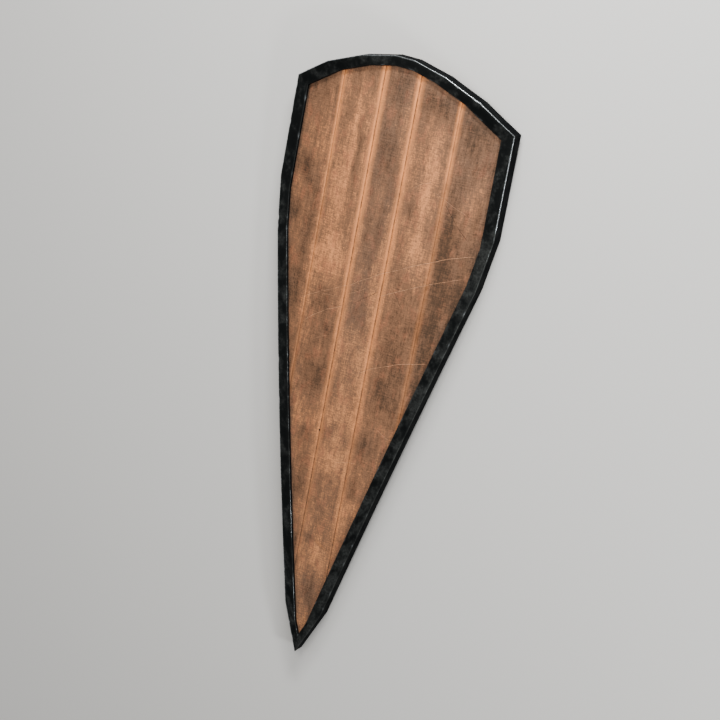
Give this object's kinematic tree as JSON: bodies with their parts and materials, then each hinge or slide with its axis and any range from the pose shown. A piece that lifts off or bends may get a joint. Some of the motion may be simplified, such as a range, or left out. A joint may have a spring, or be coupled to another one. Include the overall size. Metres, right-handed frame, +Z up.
{
  "type": "kite shield",
  "caption": "Long pointed shield of curved wooden planks held edge to edge in a dark iron rim with a faceted outline.",
  "frame": {"origin": "on the ground under the middle of the shield's box, with the shield lying on its back", "axes": "+Y along the shield from its point to its crown, +X to its right seen from the front, +Z up, the way the front faces"},
  "size_m": [0.436, 1.1502, 0.0629],
  "materials": {
    "rim_iron": "dark forged iron, mottled and rubbed bright along the edges",
    "plank_wood": "bare orange-brown wood with streaked grain, dark stains and fine scratches"
  },
  "bodies": {
    "root": {"rim": "rim_iron", "plank_left_outer": "plank_wood", "plank_left_inner": "plank_wood", "plank_centre": "plank_wood", "plank_right_inner": "plank_wood", "plank_right_outer": "plank_wood"}
  },
  "joints": []
}
